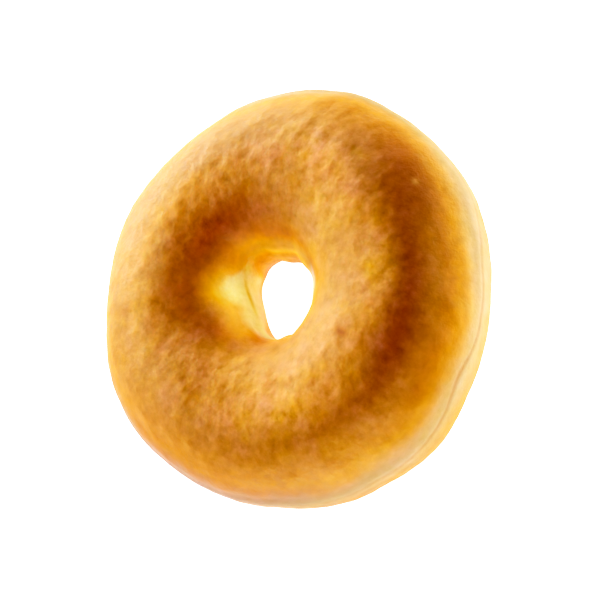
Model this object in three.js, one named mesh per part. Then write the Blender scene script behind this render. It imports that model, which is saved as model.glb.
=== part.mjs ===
// A plain yeast-raised ring doughnut, fried on both sides and left bare.
// It is one solid: a plump ring of dough round an uneven hole. The pale line
// round its sides, which the oil never reached, is a shallow crease with a soft
// lip under it, outside and in the hole. The underside is flattened where the
// ring rests. Millimetres, +Z up, origin on the table under the ring's middle.
import * as THREE from "three";

// Driving sizes
const OUTER_DIAMETER = 88;
const HOLE_DIAMETER = 16; // at its narrowest
const HEIGHT = 28;
const CREST_DIAMETER = 52; // of the circle along the top of the ring
const PALE_LINE_HEIGHT = 17.5; // above the table, a little over half way up
const REST_DEPTH = 0.6; // how much of the round underside is pressed flat

// How far the hand-cut ring is from a true round. Each lobe adds its height in
// its direction, in degrees round the ring, and as often again as it has sides.
const OUTLINE_LOBES = [
  { sides: 2, height: 0.2, direction: 0 },
  { sides: 3, height: 0.52, direction: 4 },
  { sides: 5, height: 0.2, direction: 15 },
];
const HOLE_LOBES = [
  { sides: 1, height: 0.95, direction: 106 },
  { sides: 2, height: 0.75, direction: 33 },
  { sides: 3, height: 0.5, direction: 71 },
];
const CREST_LOBES = [{ sides: 1, height: 0.4, direction: 205 }];

// The pale line's crease and lip
const CREASE_DEPTH = 0.3;
const CREASE_HALF_WIDTH = 5; // degrees of the section
const LIP_HEIGHT = 0.2;
const LIP_BELOW = 10; // degrees of the section
const LIP_HALF_WIDTH = 8;
const LINE_WANDER = 2; // degrees of the section

// Broad waves of the risen dough, and shallow dimples of its skin
const WAVE_COUNT = 5;
const WAVE_HEIGHT = 0.14;
const FEWEST_WAVES_AROUND = 4;
const FIRST_WAVE_START = 180;
const NEXT_WAVE_START = 246; // degrees further on
const DIMPLE_SPACING = 8;
const DIMPLE_DEPTH = 0.22;
const DIMPLE_SEED = 11;
const SMOOTH_REST = 35; // degrees of the section kept free of both

// Mesh fineness
const STEPS_AROUND = 120;
const STEPS_OF_SECTION = 46;
const CROWDING = 17; // degrees by which the steps crowd towards the sides

const RAD = Math.PI / 180;
const crestRadius = CREST_DIAMETER / 2;
const halfHeight = (HEIGHT + REST_DEPTH) / 2;
const middle = halfHeight - REST_DEPTH;
const paleAngle = Math.asin((PALE_LINE_HEIGHT - middle) / halfHeight) / RAD;

// A bump of height 1 that fades to nothing at about twice its half width.
function bump(distance, halfWidth) {
  return Math.exp(-((distance / halfWidth) ** 2));
}

function lobed(size, lobes, around) {
  const lift = ({ sides, height, direction }) =>
    height * Math.cos(sides * (around - direction) * RAD);
  return lobes.reduce((sum, lobe) => sum + lift(lobe), size);
}

// The section is walked in degrees from the outside up over the top and down
// through the hole. Its steps are closer at the sides, where the crease is.
function sectionAngle(step) {
  const even = -90 + (360 * (step + 0.5)) / STEPS_OF_SECTION;
  return even - CROWDING * Math.sin(2 * even * RAD);
}

// The pale line is met twice on that walk: outside the ring, and in the hole.
function belowPaleLine(section) {
  const outside = paleAngle - section;
  const inHole = section - (180 - paleAngle);
  return Math.cos(section * RAD) > 0 ? outside : inHole;
}

// A number from 0 to 1 for each point of a whole-number lattice.
function latticeValue(x, y, z) {
  let h = DIMPLE_SEED + x * 374761393 + y * 668265263 + z * 1274126177;
  h = Math.imul(h ^ (h >>> 13), 1274126177);
  return ((h ^ (h >>> 16)) >>> 0) / 4294967295;
}

// Smooth noise from -1 to 1 through the lattice.
function softNoise(point) {
  const cell = point.map(Math.floor);
  const ease = point.map((v, i) => {
    const t = v - cell[i];
    return t * t * (3 - 2 * t);
  });
  let sum = 0;
  for (let corner = 0; corner < 8; corner++) {
    const step = [corner & 1, (corner >> 1) & 1, corner >> 2];
    const share = step.reduce(
      (s, on, i) => s * (on ? ease[i] : 1 - ease[i]),
      1,
    );
    sum += share * latticeValue(...cell.map((c, i) => c + step[i]));
  }
  return 2 * sum - 1;
}

// Waves that run slantwise round the ring, each with its own start.
function waves(around, section) {
  let sum = 0;
  for (let i = 0; i < WAVE_COUNT; i++) {
    const slant = i % 2 ? 2 : -1;
    const start = FIRST_WAVE_START + NEXT_WAVE_START * i;
    const turns = FEWEST_WAVES_AROUND + i;
    sum += Math.sin((around * turns + section * slant + start) * RAD);
  }
  return WAVE_HEIGHT * sum;
}

// The point of the crust at an angle round the ring and an angle of its
// section, both in degrees.
function crustPoint(around, section) {
  const wander = LINE_WANDER * Math.sin((2 * around + 40) * RAD);
  const angle = (section + wander * Math.cos(section * RAD)) * RAD;
  const outer = lobed(OUTER_DIAMETER / 2, OUTLINE_LOBES, around);
  const hole = lobed(HOLE_DIAMETER / 2, HOLE_LOBES, around);
  const top = lobed(halfHeight, CREST_LOBES, around);
  const tall = Math.sin(angle) > 0 ? top : halfHeight;
  const wide = Math.cos(angle) > 0 ? outer - crestRadius : crestRadius - hole;
  const r = crestRadius + wide * Math.cos(angle);
  const z = middle + tall * Math.sin(angle);

  const turn = around * RAD;
  const place = [r * Math.cos(turn), r * Math.sin(turn), z];
  const dimples = DIMPLE_DEPTH * softNoise(place.map((v) => v / DIMPLE_SPACING));
  const swell = (waves(around, section) * r) / (OUTER_DIAMETER / 2);
  const below = belowPaleLine(section);
  const relief =
    (swell + dimples) * (1 - bump(section + 90, SMOOTH_REST)) -
    CREASE_DEPTH * bump(below, CREASE_HALF_WIDTH) +
    LIP_HEIGHT * bump(below - LIP_BELOW, LIP_HALF_WIDTH);
  const outwards = new THREE.Vector2(
    Math.cos(angle) / wide,
    Math.sin(angle) / tall,
  ).setLength(relief);
  return { r: r + outwards.x, z: Math.max(z + outwards.y, 0) };
}

// A lathe turns the section into a ring, and each of its points is then moved
// to the uneven crust. The lathe turns about Y, so it is laid over onto Z.
function doughnutGeometry() {
  const profile = [];
  for (let step = 0; step <= STEPS_OF_SECTION; step++) {
    const angle = sectionAngle(step % STEPS_OF_SECTION) * RAD;
    const across = crestRadius + halfHeight * Math.cos(angle);
    profile.push(new THREE.Vector2(across, halfHeight * Math.sin(angle)));
  }
  const geometry = new THREE.LatheGeometry(profile, STEPS_AROUND);
  const points = geometry.getAttribute("position");
  for (let i = 0; i < points.count; i++) {
    const step = Math.floor(i / profile.length) % STEPS_AROUND;
    const around = (360 * step) / STEPS_AROUND;
    const section = sectionAngle((i % profile.length) % STEPS_OF_SECTION);
    const { r, z } = crustPoint(around, section);
    const turn = around * RAD;
    points.setXYZ(i, r * Math.cos(turn), r * Math.sin(turn), z);
  }
  geometry.computeVertexNormals();
  return geometry;
}

const crust = new THREE.MeshStandardMaterial({
  color: 0xd9994a,
  roughness: 0.6,
  metalness: 0,
});

const doughnut = new THREE.Mesh(doughnutGeometry(), crust);
doughnut.name = "doughnut";

// The ring's uneven outline is centred over the origin.
const outline = new THREE.Box3().setFromObject(doughnut);
const offCentre = outline.getCenter(new THREE.Vector3());
doughnut.position.set(-offCentre.x, -offCentre.y, 0);

const part = new THREE.Group();
part.add(doughnut);

export default part;
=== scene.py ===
# A plain yeast-raised ring doughnut, fried on both sides and left bare.
# It lies on a white table and is seen from above and in front. Metres, +Z up.
import math

import bpy
from mathutils import Matrix, Vector


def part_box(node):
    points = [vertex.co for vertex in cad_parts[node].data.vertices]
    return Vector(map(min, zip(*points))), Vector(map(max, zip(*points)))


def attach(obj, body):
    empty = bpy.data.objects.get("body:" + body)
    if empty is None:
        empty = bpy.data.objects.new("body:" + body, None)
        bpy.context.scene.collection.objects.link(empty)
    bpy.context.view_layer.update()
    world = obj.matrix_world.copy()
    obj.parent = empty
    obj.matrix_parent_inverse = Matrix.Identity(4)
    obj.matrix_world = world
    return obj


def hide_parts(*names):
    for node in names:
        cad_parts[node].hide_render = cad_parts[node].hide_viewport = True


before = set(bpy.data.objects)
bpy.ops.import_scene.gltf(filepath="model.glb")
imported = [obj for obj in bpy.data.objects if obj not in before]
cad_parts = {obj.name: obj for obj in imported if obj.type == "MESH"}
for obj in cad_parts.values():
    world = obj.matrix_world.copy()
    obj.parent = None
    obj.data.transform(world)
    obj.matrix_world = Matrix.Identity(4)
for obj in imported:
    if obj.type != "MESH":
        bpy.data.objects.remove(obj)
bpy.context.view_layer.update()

# The ring of dough.
# It is one cut ring of raised yeast dough. Frying puffs it up on both sides of
# the line that the oil never reached, so that line stays as a pale crease.
MM = 0.001
OUTER_DIAMETER = 88 * MM
HOLE_DIAMETER = 16 * MM
HEIGHT = 28 * MM
CREST_DIAMETER = 52 * MM
PALE_LINE_HEIGHT = 17.5 * MM
REST_DEPTH = 0.6 * MM  # by which the underside is pressed flat

# Below, a direction is in degrees round the ring, from +X towards +Y. A place in
# its section is in degrees too, from the outermost point over the crest.

# Lobes of the hand-cut ring: how many there are round it, their height, and
# the direction of the first.
OUTLINE_LOBES = [(2, 0.2 * MM, 0), (3, 0.52 * MM, 4), (5, 0.2 * MM, 15)]
HOLE_LOBES = [(1, 0.95 * MM, 106), (2, 0.75 * MM, 33), (3, 0.5 * MM, 71)]
CREST_LOBES = [(1, 0.4 * MM, 205)]

# Where the hand-cut ring is fuller or flatter on its outside, and its hole wider
# or narrower: the direction, the half width in degrees, and how far.
OUTLINE_DENTS = [
    (320, 10, 0.5 * MM),
    (350, 7, -0.4 * MM),
    (248, 9, 0.5 * MM),
    (231, 6, -0.5 * MM),
    (35, 14, 0.3 * MM),
    (98, 14, -0.3 * MM),
]
HOLE_DENTS = [
    (28, 13, -0.7 * MM),
    (66, 8, 0.4 * MM),
    (359, 7, 0.5 * MM),
    (207, 9, -0.5 * MM),
    (122, 30, -0.35 * MM),
]

# The pale line wanders up and down a little, with all that lies beside it.
LINE_WANDER = 2  # degrees of the section
LINE_WANDERS_AROUND = 2
LINE_WANDER_START = 40

# The crease lies a little above the pale line's middle, and the lip just under
# it. Both are shallower at the front of the ring.
CREASE_DEPTH = 0.3 * MM
CREASE_HALF_WIDTH = 4  # degrees of the section, as the next three are
CREASE_ABOVE_LINE = 7
LIP_BELOW_LINE = 2
LIP_HALF_WIDTH = 5
LIP_HEIGHT = 0.2 * MM
CREASE_SHARE = 0.5  # of the depth and the height above
CREASE_SHARE_IN_HOLE = 0.5
SHALLOW_CREASE = [(270, 36, 0.8), (340, 30, 0.75)]  # direction, half width, share lost

# A thin brown seam runs along the cream band, here lower and there higher. It is a shallow
# groove, and its brown is painted shade of the crease. In the hole it follows the pale line.
SEAM_LEVEL = 13  # degrees of the section, as the next is
SEAM_HALF_WIDTH = 1.7
SEAM_DEPTH = 0.12 * MM
SEAM_WANDERS = [(267, 8, 7), (312, 8, -6)]  # direction, half width, degrees higher
SEAM_MIDDLE = (272, 50, 1)  # direction, half width, strength
SEAM_IN_HOLE_HALF_WIDTH = 2
SEAM_IN_HOLE = (112, 28, 1)

# The cream band reaches so many degrees of the section from the pale line, and
# further in some directions: the direction, the half width, and how much further.
BAND_OUTSIDE = 14
BAND_IN_HOLE = 1
# Where the band reaches further up and down in the hole, its cream is partly the pale line and
# partly painted light on the bright wall.
FURTHER_UP_IN_HOLE = [(98, 12, 20), (114, 12, 18), (150, 28, 19), (300, 45, 10)]
FURTHER_DOWN_IN_HOLE = [(118, 36, 34), (85, 14, 14)]
FURTHER_UP_OUTSIDE = [(350, 16, -9)]
FURTHER_DOWN_OUTSIDE = [(295, 27, 25)]
BEYOND_BAND = 15  # degrees of the section for each step of colour beyond it
SLANT_IN_HOLE = (9, 100)  # the line's slant in degrees of the section, and where it is level

# In these directions the line in the hole is hardly paler than the crust: the
# direction, the half width, and the step of colour that it starts from.
FAINT_LINE = [(45, 38, 1.8), (342, 30, 1.3)]
FAINTEST = 1.1  # no further step than this

# Browner and paler patches. Some are where the oil was hotter or cooler. Many are painted shade
# and painted light: the browner ones along the near shoulder and the far shoulder of the hole
# darken bands that little light reaches, and the paler ones on the crest and low on the wall of
# the hole brighten places that light falls on. Each patch has its direction and half width, its
# place in the section and half width, and how much browner it is, which is less than nothing for
# a paler one.
SHADING_AND_BROWNING_PATCHES = [
    # Two pale specks, which are painted glints, and a brown pit, darkened with painted shade.
    (322.7, 1, 52, 2, -1.1),
    (316.3, 1, 74.5, 1.8, -0.5),
    (263.3, 2.6, 104, 4, 1.0),
    # The underside, all round.
    (0, 180, -55, 28, 0.6),
    (180, 180, -55, 28, 0.6),
    (0, 180, 235, 26, 0.5),
    (180, 180, 235, 26, 0.5),
    # The outer side. Its browner patches high on it, round 260 to 330, are painted shade.
    (225, 16, 2, 10, 0.25),
    (300, 50, 12, 22, -0.9),
    (245, 26, 13, 6, -0.5),
    (170, 40, 15, 22, 0.6),
    (208, 20, 28, 10, 0.35),
    (302, 20, 30, 10, -0.35),
    (165, 30, 34, 10, 0.35),
    (240, 20, 38, 9, -0.25),
    (262, 10, 41, 9, 0.35),
    (334, 15, 42, 9, 0.3),
    (0, 22, 48, 14, -0.3),
    (328, 18, 54, 12, 0.65),
    (232, 18, 56, 10, -0.35),
    (265, 12, 60, 16, 0.15),
    # The crest. Its browner patches round 270 to 290 are painted shade.
    (285, 60, 70, 10, 0.8),
    (0, 17, 74, 15, -1.2),
    (272, 14, 79, 8, 0.4),
    (92, 45, 80, 14, -0.75),
    (302, 12, 91, 9, -0.65),
    (85, 28, 93, 10, 0.35),
    (218, 25, 93, 14, -1.0),
    (270, 80, 100, 25, -0.15),
    (345, 25, 105, 22, -0.5),
    (112, 18, 107, 7, 0.3),
    # The shoulder of the hole. Its browner patches round 50 to 160 are painted shade.
    (178, 20, 118, 12, -0.4),
    (130, 25, 119, 11, 0.45),
    (65, 50, 120, 16, 1.0),
    (112, 14, 130, 6, -0.4),
    (145, 14, 131, 8, 0.65),
    (48, 20, 135, 9, 0.3),
    (160, 14, 138, 8, 0.35),
    (115, 30, 140, 12, -0.6),
    (10, 35, 142, 9, 0.7),
    (303, 24, 145, 9, 0.4),
    (335, 20, 147, 8, 0.3),
    # The wall of the hole. Its paler patches low down, round 15 to 60, are painted light.
    (325, 14, 150, 7, 0.4),
    (25, 30, 155, 4, 0.4),
    (180, 16, 159, 8, 0.7),
    (14, 26, 161, 4, -0.5),
    (22, 32, 176, 9, -1.0),
    (60, 26, 185, 9, -0.9),
]

# Likewise where the skin is duller, that is, less yellow. Less than nothing is
# yellower.
DULL_PATCHES = [
    # A pale speck, which is a painted glint, and the pit.
    (322.7, 1, 52, 2, 1.6),
    (263.3, 3, 104, 4.5, -1.2),
    # The outer side.
    (346, 18, 18, 12, -0.5),
    (240, 22, 34, 10, 0.5),
    (245, 16, 34, 9, 0.6),
    (20, 30, 36, 10, 0.3),
    (305, 30, 37, 9, -0.3),
    (252, 22, 48, 12, 0.8),
    (85, 16, 52, 14, -0.3),
    (228, 16, 52, 10, 0.4),
    # The crest.
    (0, 26, 70, 20, 0.6),
    (62, 32, 86, 20, -0.65),
    (212, 16, 90, 12, 0.5),
    (300, 14, 92, 9, 0.3),
    # The shoulder of the hole.
    (335, 28, 138, 12, 1.6),
    (285, 25, 142, 9, 1.1),
    (245, 20, 143, 9, 0.9),
    # The wall of the hole.
    (150, 22, 150, 9, 0.5),
    (330, 25, 155, 9, 1.2),
    (8, 18, 156, 7, 0.7),
    (190, 25, 156, 12, 1.0),
    (10, 25, 165, 10, 0.5),
    (4, 16, 172, 9, 0.4),
    (46, 20, 178, 11, -0.8),
    (86, 12, 185, 8, 0.4),
]

# Low waves of the dough. Each has one more crest round the ring than the one
# before, starts so many degrees further on, and twists the other way.
WAVE_COUNT = 5
WAVE_HEIGHT = 0.14 * MM
FEWEST_WAVES_AROUND = 4
FIRST_WAVE_START = 180
NEXT_WAVE_START = 246
WAVE_TWISTS = (-1, 2)

# The relief of the skin. It fades out where the ring rests, and towards the
# cream band, where the skin never blistered.
SMOOTH_REST = 35  # degrees of the section kept free of waves and dimples
DIMPLE_SIZE = 8 * MM
DIMPLE_DEPTH = 0.7 * MM
BLISTER_SIZE = 3.4 * MM
BLISTER_DEPTH = 0.58 * MM
GRAIN_SIZE = 1.6 * MM
GRAIN_DEPTH = 0.25 * MM
ROUGH_FROM = 5  # steps of colour from the pale line
SMOOTHEST = 0.25
SKIN_SEED = 11

STEPS_AROUND = 440
STEPS_OF_SECTION = 224
CROWDING = 6  # degrees by which the steps crowd towards the sides


class Amount:
    """A number that varies over the ring, worked out by nodes."""

    def __init__(self, tree, socket):
        self.tree = tree
        self.socket = socket

    def reckon(self, operation, *others):
        node = self.tree.nodes.new("ShaderNodeMath")
        node.operation = operation
        for slot, value in zip(node.inputs, (self, *others)):
            feed(self.tree, slot, value)
        return Amount(self.tree, node.outputs[0])

    def __add__(self, other):
        return self.reckon("ADD", other)

    def __sub__(self, other):
        return self.reckon("SUBTRACT", other)

    def __rsub__(self, other):
        return self * -1 + other

    def __mul__(self, other):
        return self.reckon("MULTIPLY", other)

    def __truediv__(self, other):
        return self.reckon("DIVIDE", other)

    def at_most(self, limit):
        return self.reckon("MINIMUM", limit)

    def at_least(self, limit):
        return self.reckon("MAXIMUM", limit)

    def sine(self):
        return self.reckon("RADIANS").reckon("SINE")

    def cosine(self):
        return self.reckon("RADIANS").reckon("COSINE")

    def bump(self, half_width):
        """1 where this is nothing, fading away at about twice the half width."""
        share = self / half_width
        return (share * share * -1).reckon("EXPONENT")

    def bump_round(self, half_width):
        """The same for an angle round the ring."""
        return ((self.cosine() - 1) / (1 - math.cos(math.radians(half_width)))).reckon("EXPONENT")

    def if_positive(self, yes, no):
        switch = self.tree.nodes.new("GeometryNodeSwitch")
        switch.input_type = "FLOAT"
        feed(self.tree, switch.inputs["Switch"], self.reckon("GREATER_THAN", 0))
        feed(self.tree, switch.inputs["True"], yes)
        feed(self.tree, switch.inputs["False"], no)
        return Amount(self.tree, switch.outputs[0])


def feed(tree, socket, value):
    """Gives a node's input an amount, another node's output or a plain value."""
    if isinstance(value, Amount):
        value = value.socket
    if isinstance(value, bpy.types.NodeSocket):
        tree.links.new(value, socket)
    else:
        socket.default_value = value


def add_node(tree, kind, settings=None, **inputs):
    """Adds a node. An input is named by its label with _ for each space."""
    node = tree.nodes.new(kind)
    for name, value in (settings or {}).items():
        setattr(node, name, value)
    for name, value in inputs.items():
        feed(tree, node.inputs[name.replace("_", " ")], value)
    return node


def ring_tree():
    """The tree that makes the ring, with its sizes as named inputs."""
    tree = bpy.data.node_groups.new("Ring of dough", "GeometryNodeTree")
    tree.is_modifier = True
    sizes = {
        "Outer Diameter": OUTER_DIAMETER,
        "Hole Diameter": HOLE_DIAMETER,
        "Height": HEIGHT,
        "Crest Diameter": CREST_DIAMETER,
        "Pale Line Height": PALE_LINE_HEIGHT,
        "Rest Depth": REST_DEPTH,
        "Crease Depth": CREASE_DEPTH,
        "Lip Height": LIP_HEIGHT,
        "Wave Height": WAVE_HEIGHT,
        "Dimple Depth": DIMPLE_DEPTH,
        "Blister Depth": BLISTER_DEPTH,
        "Grain Depth": GRAIN_DEPTH,
    }
    for name in sizes:
        tree.interface.new_socket(name, in_out="INPUT", socket_type="NodeSocketFloat")
    for name in ("Seed", "Steps Around", "Steps Of Section"):
        tree.interface.new_socket(name, in_out="INPUT", socket_type="NodeSocketInt")
    tree.interface.new_socket("Crust", in_out="INPUT", socket_type="NodeSocketMaterial")
    tree.interface.new_socket("Mesh", in_out="OUTPUT", socket_type="NodeSocketGeometry")
    given = tree.nodes.new("NodeGroupInput")
    size = {name: Amount(tree, given.outputs[name]) for name in (*sizes, "Seed")}
    index = Amount(tree, tree.nodes.new("GeometryNodeInputIndex").outputs[0])

    def circle_with(steps, angle, name):
        """A closed curve whose points carry their angle, in degrees."""
        circle = add_node(tree, "GeometryNodeCurvePrimitiveCircle", Resolution=steps, Radius=1.0)
        capture = tree.nodes.new("GeometryNodeCaptureAttribute")
        capture.capture_items.new("FLOAT", name)
        tree.links.new(circle.outputs["Curve"], capture.inputs["Geometry"])
        feed(tree, capture.inputs[name], angle)
        return capture.outputs["Geometry"], Amount(tree, capture.outputs[name])

    steps_around = Amount(tree, given.outputs["Steps Around"])
    steps_of_section = Amount(tree, given.outputs["Steps Of Section"])
    from_underside = (index + 0.5) * 360 / steps_of_section - 90
    path, around = circle_with(steps_around, index * 360 / steps_around, "around")
    profile, section = circle_with(
        steps_of_section, from_underside - (from_underside * 2).sine() * CROWDING, "section"
    )
    ring = add_node(tree, "GeometryNodeCurveToMesh", Curve=path, Profile_Curve=profile)

    def lobed(amount, lobes):
        for sides, height, direction in lobes:
            amount = ((around - direction) * sides).cosine() * height + amount
        return amount

    def near(patch):
        direction, half_width, amount = patch
        return (around - direction).bump_round(half_width) * amount

    def with_patches(amount, patches):
        for patch in patches:
            amount = near(patch) + amount
        return amount

    def patchwork(patches):
        total = 0
        for direction, half_round, level, half_section, amount in patches:
            patch = near((direction, half_round, amount)) * (section - level).bump(half_section)
            total = patch + total
        return total

    # The smooth ring: an oval section, taller where the crest has a lobe.
    half_height = (size["Height"] + size["Rest Depth"]) / 2
    middle = half_height - size["Rest Depth"]
    crest_radius = size["Crest Diameter"] / 2
    line_wander = (around * LINE_WANDERS_AROUND + LINE_WANDER_START).sine() * LINE_WANDER
    angle = section + line_wander * section.cosine()
    outer = with_patches(lobed(size["Outer Diameter"] / 2, OUTLINE_LOBES), OUTLINE_DENTS)
    hole = with_patches(lobed(size["Hole Diameter"] / 2, HOLE_LOBES), HOLE_DENTS)
    tall = angle.sine().if_positive(lobed(half_height, CREST_LOBES), half_height)
    wide = angle.cosine().if_positive(outer - crest_radius, crest_radius - hole)
    radius = crest_radius + wide * angle.cosine()
    height = middle + tall * angle.sine()

    # The pale line is met outside the ring and again in the hole.
    pale_angle = ((size["Pale Line Height"] - middle) / half_height).reckon("ARCSINE")
    pale_angle = pale_angle.reckon("DEGREES")
    slant_height, level_at = SLANT_IN_HOLE
    slant = (around - level_at).sine() * slant_height
    below = section.cosine().if_positive(
        pale_angle - section, section - 180 + pale_angle - slant
    )
    outside = (section.cosine() + 1) / 2

    def either(in_hole, on_outside):
        return (on_outside - in_hole) * outside + in_hole

    reach_up = either(
        with_patches(BAND_IN_HOLE, FURTHER_UP_IN_HOLE),
        with_patches(BAND_OUTSIDE, FURTHER_UP_OUTSIDE),
    )
    reach_down = either(
        with_patches(BAND_IN_HOLE, FURTHER_DOWN_IN_HOLE),
        with_patches(BAND_OUTSIDE, FURTHER_DOWN_OUTSIDE),
    )
    reach = below.if_positive(reach_down, reach_up)
    degrees_off = below.reckon("ABSOLUTE")
    beyond = (degrees_off - reach).at_least(0) / BEYOND_BAND
    faint = with_patches(0, FAINT_LINE).at_most(FAINTEST) * (1 - outside)
    from_line = (degrees_off / reach).at_most(1).at_least(faint) + beyond

    seam = (section - with_patches(SEAM_LEVEL, SEAM_WANDERS)).bump(SEAM_HALF_WIDTH)
    seam = seam * near(SEAM_MIDDLE)
    seam_in_hole = below.bump(SEAM_IN_HOLE_HALF_WIDTH) * near(SEAM_IN_HOLE)
    seam = either(seam_in_hole, seam)

    # The relief of the skin stands off the smooth ring.
    swell = 0
    for i in range(WAVE_COUNT):
        twist = WAVE_TWISTS[i % 2]
        waves_around = FEWEST_WAVES_AROUND + i
        start = FIRST_WAVE_START + NEXT_WAVE_START * i
        swell = (around * waves_around + section * twist + start).sine() + swell
    swell = swell * size["Wave Height"] * radius / (size["Outer Diameter"] / 2)

    def point_at(r, z):
        node = add_node(
            tree,
            "ShaderNodeCombineXYZ",
            X=r * around.cosine(),
            Y=r * around.sine(),
            Z=z,
        )
        return node.outputs[0]

    smooth_point = point_at(radius, height)

    def skin_noise(feature_size, detail, seed_step):
        """Noise from -1/2 to 1/2 whose lumps are about the given size."""
        noise = add_node(
            tree,
            "ShaderNodeTexNoise",
            {"noise_dimensions": "4D"},
            Vector=smooth_point,
            W=size["Seed"] + seed_step,
            Scale=1 / feature_size,
            Detail=detail,
            Roughness=0.5,
        )
        return Amount(tree, noise.outputs[0]) - 0.5

    dimples = skin_noise(DIMPLE_SIZE, detail=1.0, seed_step=0)
    blisters = skin_noise(BLISTER_SIZE, detail=1.0, seed_step=3)
    grain = skin_noise(GRAIN_SIZE, detail=2.0, seed_step=7)
    roughness = (from_line / ROUGH_FROM).at_most(1) * (1 - SMOOTHEST) + SMOOTHEST
    crease_left = 1 - with_patches(0, SHALLOW_CREASE)
    crease_share = either(CREASE_SHARE_IN_HOLE, crease_left * CREASE_SHARE)
    crease = (below + CREASE_ABOVE_LINE).bump(CREASE_HALF_WIDTH) * size["Crease Depth"]
    lip = (below - LIP_BELOW_LINE).bump(LIP_HALF_WIDTH) * size["Lip Height"]
    off_rest = 1 - (section + 90).bump(SMOOTH_REST)
    relief = (
        (swell + dimples * size["Dimple Depth"]) * off_rest
        + (blisters * size["Blister Depth"] + grain * size["Grain Depth"]) * roughness
        + (lip - crease) * crease_share
        - seam * SEAM_DEPTH
    )
    outwards = angle.cosine() / wide
    upwards = angle.sine() / tall
    length = (outwards * outwards + upwards * upwards).reckon("SQRT")
    crust_height = (height + relief * upwards / length).at_least(0)
    crust_point = point_at(radius + relief * outwards / length, crust_height)
    shaped = add_node(
        tree, "GeometryNodeSetPosition", Geometry=ring.outputs["Mesh"], Position=crust_point
    )

    def store(mesh, name, amount):
        kept = add_node(
            tree,
            "GeometryNodeStoreNamedAttribute",
            {"data_type": "FLOAT"},
            Geometry=mesh,
            Name=name,
            Value=amount,
        )
        return kept.outputs["Geometry"]

    # What the crust's colours follow.
    mesh = store(shaped.outputs["Geometry"], "from_line", from_line)
    mesh = store(mesh, "in_hole", 1 - outside)
    mesh = store(mesh, "shading_and_browning", patchwork(SHADING_AND_BROWNING_PATCHES))
    mesh = store(mesh, "dullness", patchwork(DULL_PATCHES))
    mesh = store(mesh, "seam", seam)
    mesh = store(mesh, "give", (reach / BAND_OUTSIDE).at_most(1))
    mesh = store(mesh, "roughness", roughness)
    mesh = store(mesh, "grain", grain)

    # The swept faces point inwards, so they are turned round.
    outward = add_node(tree, "GeometryNodeFlipFaces", Mesh=mesh)
    smooth = add_node(tree, "GeometryNodeSetShadeSmooth", Geometry=outward.outputs["Mesh"])
    real = add_node(
        tree, "GeometryNodeRealizeInstances", Geometry=smooth.outputs["Geometry"]
    )
    coated = add_node(
        tree,
        "GeometryNodeSetMaterial",
        Geometry=real.outputs["Geometry"],
        Material=given.outputs["Crust"],
    )
    made = tree.nodes.new("NodeGroupOutput")
    tree.links.new(coated.outputs["Geometry"], made.inputs["Mesh"])
    return tree, sizes


# Colours of the skin, in linear red, green and blue, by its distance from the
# pale line in steps: up to 1 it is the cream band, and beyond that the crust.
OUTSIDE_COLOURS = [
    (0.0, (0.375, 0.226, 0.085)),
    (0.45, (0.42, 0.223, 0.064)),
    (1.0, (0.50, 0.218, 0.028)),
    (1.35, (0.535, 0.218, 0.011)),
    (1.6, (0.545, 0.22, 0.006)),
    (2.1, (0.515, 0.197, 0.009)),
    (2.8, (0.495, 0.204, 0.016)),
    # Darker here, on the shoulder: partly browner crust, partly painted shade.
    (4.2, (0.42, 0.184, 0.030)),
    (5.4, (0.48, 0.195, 0.034)),
]
# The same crust in the hole, paler and yellower than outside: painted light on the wall of the
# hole.
LIT_HOLE_COLOURS = [
    (0.0, (0.90, 0.88, 0.38)),
    (0.5, (0.90, 0.78, 0.33)),
    (1.05, (0.90, 0.50, 0.065)),
    (1.5, (0.86, 0.42, 0.033)),
    (2.0, (0.75, 0.35, 0.050)),
    # Darker here, on the shoulder of the hole: partly browner crust, partly painted shade.
    (2.7, (0.60, 0.285, 0.070)),
    (4.2, (0.675, 0.297, 0.057)),
    (5.4, (0.66, 0.28, 0.056)),
]
FURTHEST = 6  # steps, at the end of the ramps that hold these colours

# What a patch (browning, painted shade or painted light), the seam's painted shade or a fleck (a
# painted glint, a pinker or yellower spot) of strength 1 multiplies red, green and blue by.
BROWNER = (0.62, 0.41, 1.0)
BROWNER_IN_HOLE = (0.62, 0.44, 0.35)
PALER = (1.42, 1.5, 1.75)
PALER_IN_HOLE = (1.42, 1.78, 1.75)
DULLER = (1.0, 1.05, 1.8)
SEAM_SHADE = (0.82, 0.68, 0.55)
SEAM_SHADE_IN_HOLE = (0.82, 0.68, 0.2)
GLINT_TINT = (1.55, 1.6, 2.5)
YELLOW_FLECK = (0.99, 0.98, 0.5)
PINK_FLECK = (1.04, 1.0, 1.5)

# The skin's unevenness: the size of its lumps, and how strongly they show.
PATCH_SIZE = 14 * MM
PATCH_TONE = 0.2
PATCH_WANDER = 1.6  # of the band's edge, in steps of colour
EDGE_SIZE = 4 * MM
EDGE_WANDER = 0.8
FLECK_SIZE = 1.1 * MM
FLECK_HARSHNESS = 0.6
# The pale flecks are painted glints, strongest where the grain stands up.
FLECK_PALENESS = 0.9
GRAIN_GLINT = 1.1
SPECKLE_SIZE = 2.4 * MM
SPECKLE_PALENESS = 0.8
SMALL_BLUSH_SIZE = 3 * MM
SMALL_BLUSH = 1.8
LARGE_BLUSH_SIZE = 7 * MM
LARGE_BLUSH = 1.9
TONE_SIZE = 5 * MM
TONE = 0.3
WRINKLE_SIZE = 0.8 * MM
WRINKLE_DEPTH = 0.15 * MM
WRINKLE_STRENGTH = 0.5

# The skin is dry, with a trace of fat, and lets some light into the crumb.
ROUGHNESS = 0.55
ROUGHNESS_OF_FLECKS = 0.3
GLOSS = 0.4
LIGHT_LET_IN = 0.25
LIGHT_SPREAD = (1.0, 0.45, 0.15)  # of red, green and blue, as shares of the depth
LIGHT_DEPTH = 1.8 * MM


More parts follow.
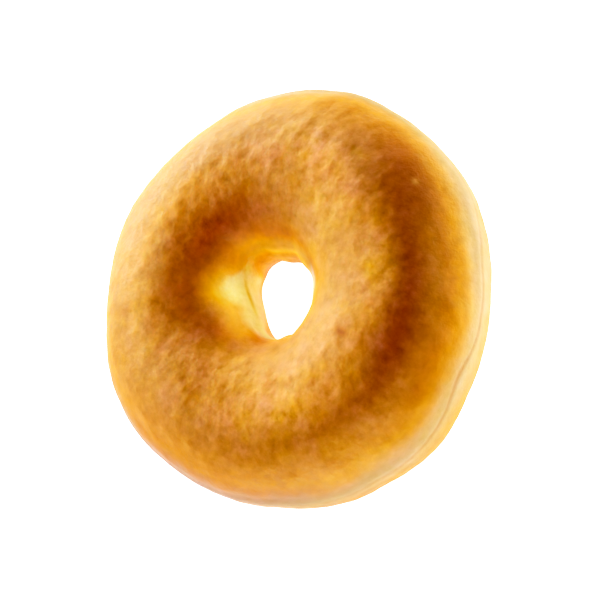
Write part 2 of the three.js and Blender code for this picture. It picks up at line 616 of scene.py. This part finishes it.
def fried_crust():
    """Thin golden crust with paler flecks, paling to cream at the line."""
    material = bpy.data.materials.new("Fried crust")
    material.use_nodes = True
    tree = material.node_tree
    shader = tree.nodes["Principled BSDF"]
    place = tree.nodes.new("ShaderNodeTexCoord").outputs["Object"]

    def attribute(name):
        node = add_node(tree, "ShaderNodeAttribute", {"attribute_name": name})
        return Amount(tree, node.outputs["Fac"])

    def noise(feature_size, detail=2.0, roughness=0.5):
        texture = add_node(
            tree,
            "ShaderNodeTexNoise",
            Vector=place,
            Scale=1 / feature_size,
            Detail=detail,
            Roughness=roughness,
        )
        return Amount(tree, texture.outputs[0]) - 0.5

    def colours_along(distance, colours):
        ramp = add_node(tree, "ShaderNodeValToRGB", Fac=distance / FURTHEST)
        stops = ramp.color_ramp.elements
        while len(stops) < len(colours):
            stops.new(1)
        for stop, (at, colour) in zip(stops, colours):
            stop.position = at / FURTHEST
            stop.color = (*colour, 1)
        return ramp.outputs["Color"]

    def mixed(factor, first, second):
        """Mixes two colours, and goes beyond them where the factor does."""
        mix = tree.nodes.new("ShaderNodeMix")
        mix.data_type = "RGBA"
        mix.clamp_factor = False
        feed(tree, mix.inputs["Factor"], factor)
        # Its sockets 6 and 7 are the two colours, and 2 is the mixed one.
        for socket, colour in ((mix.inputs[6], first), (mix.inputs[7], second)):
            feed(tree, socket, (*colour, 1) if isinstance(colour, tuple) else colour)
        return mix.outputs[2]

    def times(colour, other):
        product = tree.nodes.new("ShaderNodeVectorMath")
        product.operation = "MULTIPLY"
        feed(tree, product.inputs[0], colour)
        feed(tree, product.inputs[1], other)
        return product.outputs[0]

    patches = noise(PATCH_SIZE)
    flecks = noise(FLECK_SIZE, roughness=FLECK_HARSHNESS)
    in_hole = attribute("in_hole")
    uneven = attribute("roughness")

    # The band's edge wanders, and less so where the band is narrow.
    from_line = attribute("from_line")
    wander = patches * PATCH_WANDER + noise(EDGE_SIZE) * EDGE_WANDER
    wavering = from_line + wander * from_line.at_most(1) * attribute("give")
    skin = mixed(
        in_hole,
        colours_along(wavering, OUTSIDE_COLOURS),
        colours_along(wavering, LIT_HOLE_COLOURS),
    )

    # The patches, which are browning, painted shade and painted light, and the seam's painted
    # shade.
    shading_and_browning = attribute("shading_and_browning")
    browner = mixed(in_hole, BROWNER, BROWNER_IN_HOLE)
    skin = mixed(shading_and_browning.at_least(0), skin, times(skin, browner))
    paler = mixed(in_hole * in_hole * in_hole, PALER, PALER_IN_HOLE)
    skin = mixed(shading_and_browning.at_most(0) * -1, skin, times(skin, paler))
    skin = mixed(attribute("dullness"), skin, times(skin, DULLER))
    # The seam's darker line is painted shade.
    seam_shade = mixed(in_hole, SEAM_SHADE, SEAM_SHADE_IN_HOLE)
    skin = mixed(attribute("seam"), skin, times(skin, seam_shade))

    # Painted glints: pale flecks on what stands up. Then pinker and yellower places, and the
    # tone.
    glints = (
        flecks * FLECK_PALENESS
        + attribute("grain") * GRAIN_GLINT
        + noise(SPECKLE_SIZE) * SPECKLE_PALENESS
    )
    skin = mixed(glints * uneven, skin, times(skin, GLINT_TINT))
    blush = noise(SMALL_BLUSH_SIZE) * SMALL_BLUSH + noise(LARGE_BLUSH_SIZE) * LARGE_BLUSH
    skin = times(skin, mixed(blush * uneven + 0.5, YELLOW_FLECK, PINK_FLECK))
    tone = noise(TONE_SIZE) * TONE * uneven + patches * PATCH_TONE + 1
    toned = add_node(
        tree, "ShaderNodeVectorMath", {"operation": "SCALE"}, Scale=tone, Vector=skin
    )
    tree.links.new(toned.outputs[0], shader.inputs["Base Color"])
    feed(tree, shader.inputs["Roughness"], flecks * ROUGHNESS_OF_FLECKS + ROUGHNESS)
    shader.inputs["Specular IOR Level"].default_value = GLOSS
    shader.inputs["Subsurface Weight"].default_value = LIGHT_LET_IN
    shader.inputs["Subsurface Radius"].default_value = LIGHT_SPREAD
    shader.inputs["Subsurface Scale"].default_value = LIGHT_DEPTH
    wrinkles = add_node(
        tree,
        "ShaderNodeBump",
        Strength=WRINKLE_STRENGTH,
        Distance=WRINKLE_DEPTH,
        Height=noise(WRINKLE_SIZE, detail=3.0),
    )
    tree.links.new(wrinkles.outputs[0], shader.inputs["Normal"])
    return material


tree, sizes = ring_tree()
ring = bpy.data.objects.new("fried_ring", bpy.data.meshes.new("fried_ring"))
bpy.context.collection.objects.link(ring)
modifier = ring.modifiers.new("Ring of dough", "NODES")
modifier.node_group = tree
settings = {
    **sizes,
    "Seed": SKIN_SEED,
    "Steps Around": STEPS_AROUND,
    "Steps Of Section": STEPS_OF_SECTION,
    "Crust": fried_crust(),
}
for item in tree.interface.items_tree:
    if item.name in settings:
        modifier[item.identifier] = settings[item.name]
bpy.context.view_layer.update()
evaluated = ring.evaluated_get(bpy.context.evaluated_depsgraph_get())
ring_mesh = bpy.data.meshes.new_from_object(evaluated)
ring.modifiers.clear()
ring.data = ring_mesh

# The uneven outline is centred where the solid's is.
low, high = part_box("doughnut")
across = [point.co.x for point in ring_mesh.vertices]
along = [point.co.y for point in ring_mesh.vertices]
off_centre = Vector((min(across) + max(across), min(along) + max(along), 0)) / 2
centre = Vector((low.x + high.x, low.y + high.y, 0)) / 2
ring_mesh.transform(Matrix.Translation(centre - off_centre))
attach(ring, "root")
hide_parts("doughnut")

# The table.
# It is a plain white top, lit so strongly that it shows as pure white.
TABLE_SIZE = 6.0
TABLE_WHITE = (0.9, 0.9, 0.9, 1)
TABLE_ROUGHNESS = 0.9
TABLE_GLOW = 1.2
half_table = TABLE_SIZE / 2
corners = [(-1, -1), (1, -1), (1, 1), (-1, 1)]
table_mesh = bpy.data.meshes.new("table")
table_points = [(x * half_table, y * half_table, 0) for x, y in corners]
table_mesh.from_pydata(table_points, [], [(0, 1, 2, 3)])
table = bpy.data.objects.new("table", table_mesh)
bpy.context.collection.objects.link(table)
white = bpy.data.materials.new("White table")
white.use_nodes = True
surface = white.node_tree.nodes["Principled BSDF"]
surface.inputs["Base Color"].default_value = TABLE_WHITE
surface.inputs["Roughness"].default_value = TABLE_ROUGHNESS
surface.inputs["Emission Color"].default_value = (1, 1, 1, 1)
surface.inputs["Emission Strength"].default_value = TABLE_GLOW
table_mesh.materials.append(white)

# The lights.
# Soft boxes stand round the table and point at the ring. Most of them are low,
# and the strongest is behind it.
RING_CENTRE = Vector((-0.63 * MM, -0.23 * MM, 13.7 * MM))
LIGHT_DISTANCE = 0.8
BOX_HEIGHT = 30  # degrees, seen from the ring


def soft_box(name, direction, height, width, strength):
    """A light that is so many degrees wide, seen from the ring. Its direction is in
    degrees round from the camera's side towards +X, and its height in degrees
    above the table. At strength 1 it shows white as white."""
    turn = math.radians(direction)
    lift = math.radians(height)
    towards = Vector(
        (math.sin(turn) * math.cos(lift), -math.cos(turn) * math.cos(lift), math.sin(lift))
    )
    light_data = bpy.data.lights.new(name, "AREA")
    light_data.shape = "RECTANGLE"
    light_data.size = 2 * LIGHT_DISTANCE * math.tan(math.radians(width) / 2)
    light_data.size_y = 2 * LIGHT_DISTANCE * math.tan(math.radians(BOX_HEIGHT) / 2)
    light_data.energy = strength * (math.pi * LIGHT_DISTANCE) ** 2
    light = bpy.data.objects.new(name, light_data)
    light.matrix_world = Matrix.LocRotScale(
        RING_CENTRE + towards * LIGHT_DISTANCE, towards.to_track_quat("Z", "Y"), None
    )
    bpy.context.collection.objects.link(light)


soft_box("far light", 160, 8, 60, 1.95)
soft_box("high far light", 190, 40, 60, 0.76)
soft_box("left light", 288, 8, 60, 1.36)
soft_box("right light", 50, 20, 60, 0.6)

# A bright panel is let into the table top, because the ring in the picture is
# lit from below too. It faces up, and its width runs across the way to the ring.
PANEL_DIRECTION = 28  # degrees round from the camera's side towards +X
PANEL_DISTANCE = 110 * MM
PANEL_LENGTH = 120 * MM
PANEL_WIDTH = 260 * MM
PANEL_HEIGHT = 0.3 * MM
PANEL_BRIGHTNESS = 1.46  # of that of white
panel_turn = math.radians(PANEL_DIRECTION)
outwards = Vector((math.sin(panel_turn), -math.cos(panel_turn), 0))
down = Vector((0, 0, -1))
facing_up = Matrix((outwards.cross(down), outwards, down)).transposed()
panel_place = Vector((RING_CENTRE.x, RING_CENTRE.y, PANEL_HEIGHT)) + outwards * PANEL_DISTANCE
panel_data = bpy.data.lights.new("near panel", "AREA")
panel_data.shape = "RECTANGLE"
panel_data.size = PANEL_WIDTH
panel_data.size_y = PANEL_LENGTH
panel_data.energy = PANEL_BRIGHTNESS * math.pi * PANEL_WIDTH * PANEL_LENGTH
panel = bpy.data.objects.new("near panel", panel_data)
panel.matrix_world = Matrix.Translation(panel_place) @ facing_up.to_4x4()
bpy.context.collection.objects.link(panel)

# A small lamp in the hole, which the camera doesn't see, lights its walls.
LAMP_PLACE = (RING_CENTRE.x - 0.4 * MM, RING_CENTRE.y + 2 * MM, 25 * MM)
LAMP_RADIUS = 2.5 * MM
LAMP_STRENGTH = 0.000028  # how bright white looks at 1 m from it
lamp_data = bpy.data.lights.new("hole lamp", "POINT")
lamp_data.shadow_soft_size = LAMP_RADIUS
lamp_data.energy = LAMP_STRENGTH * 4 * math.pi**2
lamp = bpy.data.objects.new("hole lamp", lamp_data)
lamp.location = LAMP_PLACE
lamp.visible_camera = False
bpy.context.collection.objects.link(lamp)

# The studio round the table is white to look at, but its walls give no light.
world = bpy.data.worlds.new("Studio")
bpy.context.scene.world = world
world.use_nodes = True
world.node_tree.nodes["Background"].inputs["Color"].default_value = (1, 1, 1, 1)
world.cycles_visibility.diffuse = False
world.cycles_visibility.glossy = False

# The camera.
# It looks down on the ring from the front, rolled so that the ring stands as
# it does in the picture, where the ring's middle is a little off the centre.
FRAME_WIDTH = 600  # pixels
RING_FROM_CENTRE = (-10.12, 2.38)  # pixels right of and above the frame's middle
CAMERA_DISTANCE = 264 * MM
CAMERA_TILT = 28.3  # degrees off straight down
CAMERA_ROLL = 68.8  # degrees
FOCAL_LENGTH = 1259.8  # pixels
SENSOR_WIDTH = 36  # millimetres
tilt = math.radians(CAMERA_TILT)
roll = math.radians(CAMERA_ROLL)
back = Vector((0, -math.sin(tilt), math.cos(tilt)))
level_right = Vector((1, 0, 0))
level_up = Vector((0, math.cos(tilt), math.sin(tilt)))
right = level_right * math.cos(roll) - level_up * math.sin(roll)
up = level_right * math.sin(roll) + level_up * math.cos(roll)
camera_data = bpy.data.cameras.new("Camera")
camera_data.sensor_width = SENSOR_WIDTH
camera_data.lens = SENSOR_WIDTH * FOCAL_LENGTH / FRAME_WIDTH
camera = bpy.data.objects.new("Camera", camera_data)
bpy.context.collection.objects.link(camera)
pixel = CAMERA_DISTANCE / FOCAL_LENGTH
aim = RING_CENTRE - (right * RING_FROM_CENTRE[0] + up * RING_FROM_CENTRE[1]) * pixel
turned = Matrix((right, up, back)).transposed().to_4x4()
camera.matrix_world = Matrix.Translation(aim + back * CAMERA_DISTANCE) @ turned
bpy.context.scene.camera = camera

# The print.
# It is harder than the light: it lifts each colour's middle tones, cuts its
# shadows, and leaves white as it is.
PRINT_STEEPNESS = 1.8
PRINT_KNEE = 0.4
PRINT_CUT = 0.015
PRINT_STEPS = 24
viewing = bpy.context.scene.view_settings
viewing.view_transform = "Standard"
viewing.use_curve_mapping = True
curve = viewing.curve_mapping.curves[3]  # the one for all colours together
for step in range(1, PRINT_STEPS):
    light = (step / PRINT_STEPS) ** 2
    steep = light**PRINT_STEEPNESS
    lifted = (1 + PRINT_KNEE) * steep / (steep + PRINT_KNEE)
    curve.points.new(light, max((lifted - PRINT_CUT) / (1 - PRINT_CUT), 0))
viewing.curve_mapping.update()
